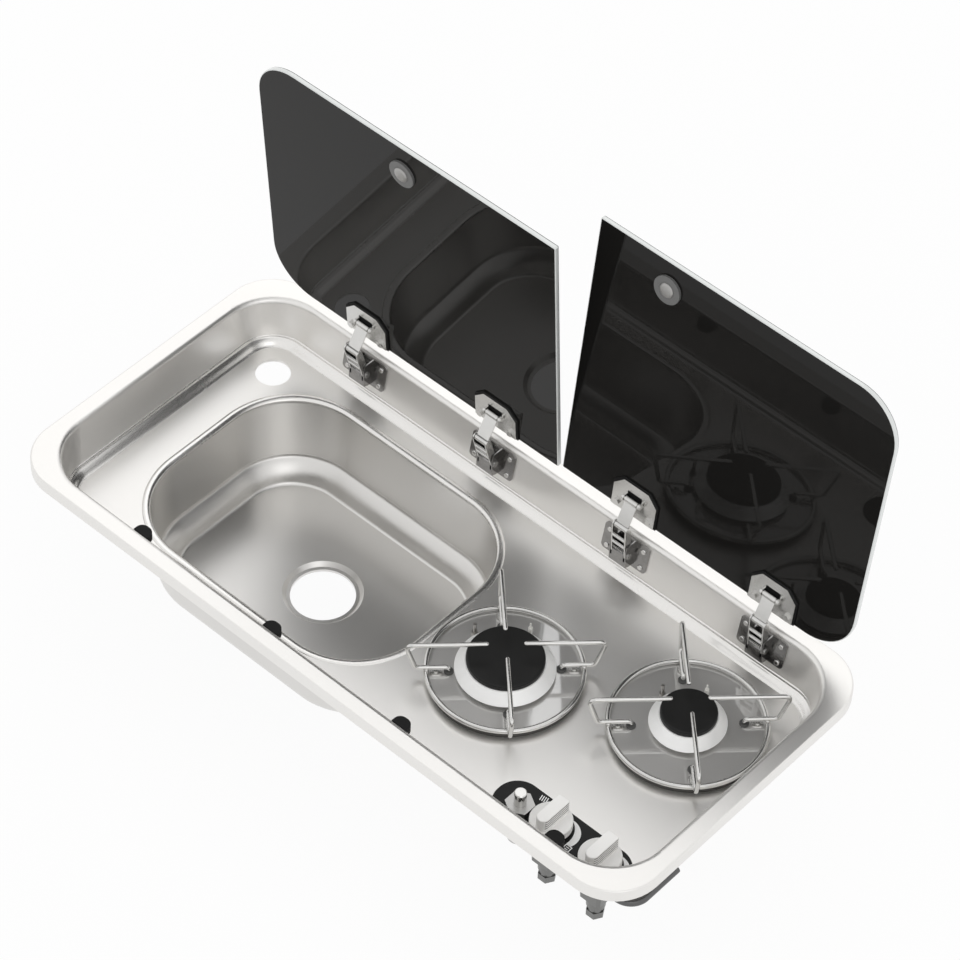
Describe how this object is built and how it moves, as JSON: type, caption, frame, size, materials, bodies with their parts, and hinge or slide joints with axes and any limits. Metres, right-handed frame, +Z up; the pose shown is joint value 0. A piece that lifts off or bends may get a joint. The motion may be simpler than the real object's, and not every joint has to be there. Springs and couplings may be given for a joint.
{
  "type": "camper sink and hob with glass lids",
  "caption": "Drop-in steel camper unit with a deep sink bowl, gas burners under wire pan supports, knobs, and hinged dark glass lids.",
  "frame": {"origin": "centre of the rim's top plane, over the worktop cut-out", "axes": "+X towards the hob end, +Y towards the hinge side, +Z up out of the worktop"},
  "size_m": [0.76, 0.3825, 0.4793],
  "materials": {
    "satin_steel": "fine brushed, satin",
    "rubber": "moulded, matt",
    "polished_steel": "bright polished",
    "steel_wire": "bright drawn wire",
    "aluminium": "cast and turned",
    "black_enamel": "satin black enamel",
    "brass": "machined",
    "steel_tube": "drawn tube",
    "ceramic_white": "glazed",
    "probe_steel": "turned",
    "knob_plastic": "fine moulded texture",
    "black_plastic": "moulded",
    "washer_plastic": "moulded",
    "plated_steel": "stamped and plated",
    "dark_glass": "polished tinted safety glass"
  },
  "bodies": {
    "root": {"tray": "satin_steel", "sink_bowl": "satin_steel", "tap_hole_plate": "satin_steel", "rim_seal": "rubber", "lid_rests": "rubber", "support_grommets": "rubber", "spill_plate_large": "polished_steel", "spill_plate_small": "polished_steel", "support_clips": "polished_steel", "pan_support_large": "steel_wire", "pan_support_small": "steel_wire", "burner_head_large": "aluminium", "burner_head_small": "aluminium", "burner_body_large": "aluminium", "burner_body_small": "aluminium", "tap_body_large": "aluminium", "tap_body_small": "aluminium", "burner_cap_large": "black_enamel", "burner_cap_small": "black_enamel", "control_plate": "black_enamel", "injector_holder_large": "brass", "injector_holder_small": "brass", "feed_pipe_large": "steel_tube", "feed_pipe_small": "steel_tube", "gas_link_pipe": "steel_tube", "gas_inlet_pipe": "steel_tube", "spark_electrodes": "ceramic_white", "flame_probes": "probe_steel", "igniter_body": "black_plastic", "hinge_housings": "plated_steel", "housing_rivets": "plated_steel", "hinge_pivots": "plated_steel", "igniter_nut": "plated_steel"},
    "left_lid": {"glass_left": "dark_glass", "hinge_pads_left": "rubber", "hinge_leaves_left": "plated_steel", "hinge_screws_left": "plated_steel", "link_pins_left": "plated_steel", "lid_knob_left": "black_plastic", "knob_washer_left": "washer_plastic"},
    "left_lid_arms": {"hinge_arms_left": "plated_steel", "hinge_springs_left": "plated_steel"},
    "left_lid_links": {"hinge_links_left": "plated_steel"},
    "right_lid": {"glass_right": "dark_glass", "hinge_pads_right": "rubber", "hinge_leaves_right": "plated_steel", "hinge_screws_right": "plated_steel", "link_pins_right": "plated_steel", "lid_knob_right": "black_plastic", "knob_washer_right": "washer_plastic"},
    "right_lid_arms": {"hinge_arms_right": "plated_steel", "hinge_springs_right": "plated_steel"},
    "right_lid_links": {"hinge_links_right": "plated_steel"},
    "large_spindle": {"tap_spindle_large": "probe_steel"},
    "large_knob": {"knob_large": "knob_plastic"},
    "small_spindle": {"tap_spindle_small": "probe_steel"},
    "small_knob": {"knob_small": "knob_plastic"},
    "igniter_button": {"igniter_button": "plated_steel"}
  },
  "joints": [
    {"name": "left_lid_swing", "type": "hinge", "parent": "root", "child": "left_lid", "pos_m": [0, 0.1663, 0.004], "axis": [1, 0, 0], "range_deg": [-10.35, 85.3]},
    {"name": "left_arms_swing", "type": "hinge", "parent": "root", "child": "left_lid_arms", "pos_m": [0, 0.146, -0.02], "axis": [1, 0, 0], "range_deg": [-11.1, 87.86]},
    {"name": "left_links_swing", "type": "hinge", "parent": "left_lid", "child": "left_lid_links", "pos_m": [0, 0.15048, 0.03772], "axis": [1, 0, 0], "range_deg": [-101.37, 12.74]},
    {"name": "right_lid_swing", "type": "hinge", "parent": "root", "child": "right_lid", "pos_m": [0, 0.1663, 0.004], "axis": [1, 0, 0], "range_deg": [0, 95.65]},
    {"name": "right_arms_swing", "type": "hinge", "parent": "root", "child": "right_lid_arms", "pos_m": [0, 0.146, -0.02], "axis": [1, 0, 0], "range_deg": [0, 101.26]},
    {"name": "right_links_swing", "type": "hinge", "parent": "right_lid", "child": "right_lid_links", "pos_m": [0, 0.1568, 0.04001], "axis": [1, 0, 0], "range_deg": [-116.09, 0]},
    {"name": "large_tap_turn", "type": "hinge", "parent": "root", "child": "large_spindle", "pos_m": [0.254, -0.1205, -0.045], "axis": [0, 0, 1], "range_deg": [0, 190]},
    {"name": "large_knob_push", "type": "slide", "parent": "large_spindle", "child": "large_knob", "axis": [0, 0, -1], "range_m": [0, 0.003], "stiffness_N_per_m": 900},
    {"name": "small_tap_turn", "type": "hinge", "parent": "root", "child": "small_spindle", "pos_m": [0.3115, -0.1205, -0.045], "axis": [0, 0, 1], "range_deg": [0, 190]},
    {"name": "small_knob_push", "type": "slide", "parent": "small_spindle", "child": "small_knob", "axis": [0, 0, -1], "range_m": [0, 0.003], "stiffness_N_per_m": 900},
    {"name": "igniter_push", "type": "slide", "parent": "root", "child": "igniter_button", "axis": [0, 0, -1], "range_m": [0, 0.004], "stiffness_N_per_m": 1200}
  ],
  "couplings": [
    {"joint": "left_arms_swing", "follows": "left_lid_swing", "ratio": 1.0242},
    {"joint": "left_links_swing", "follows": "left_lid_swing", "ratio": -1.1825},
    {"joint": "right_arms_swing", "follows": "right_lid_swing", "ratio": 1.0534},
    {"joint": "right_links_swing", "follows": "right_lid_swing", "ratio": -1.2085}
  ]
}
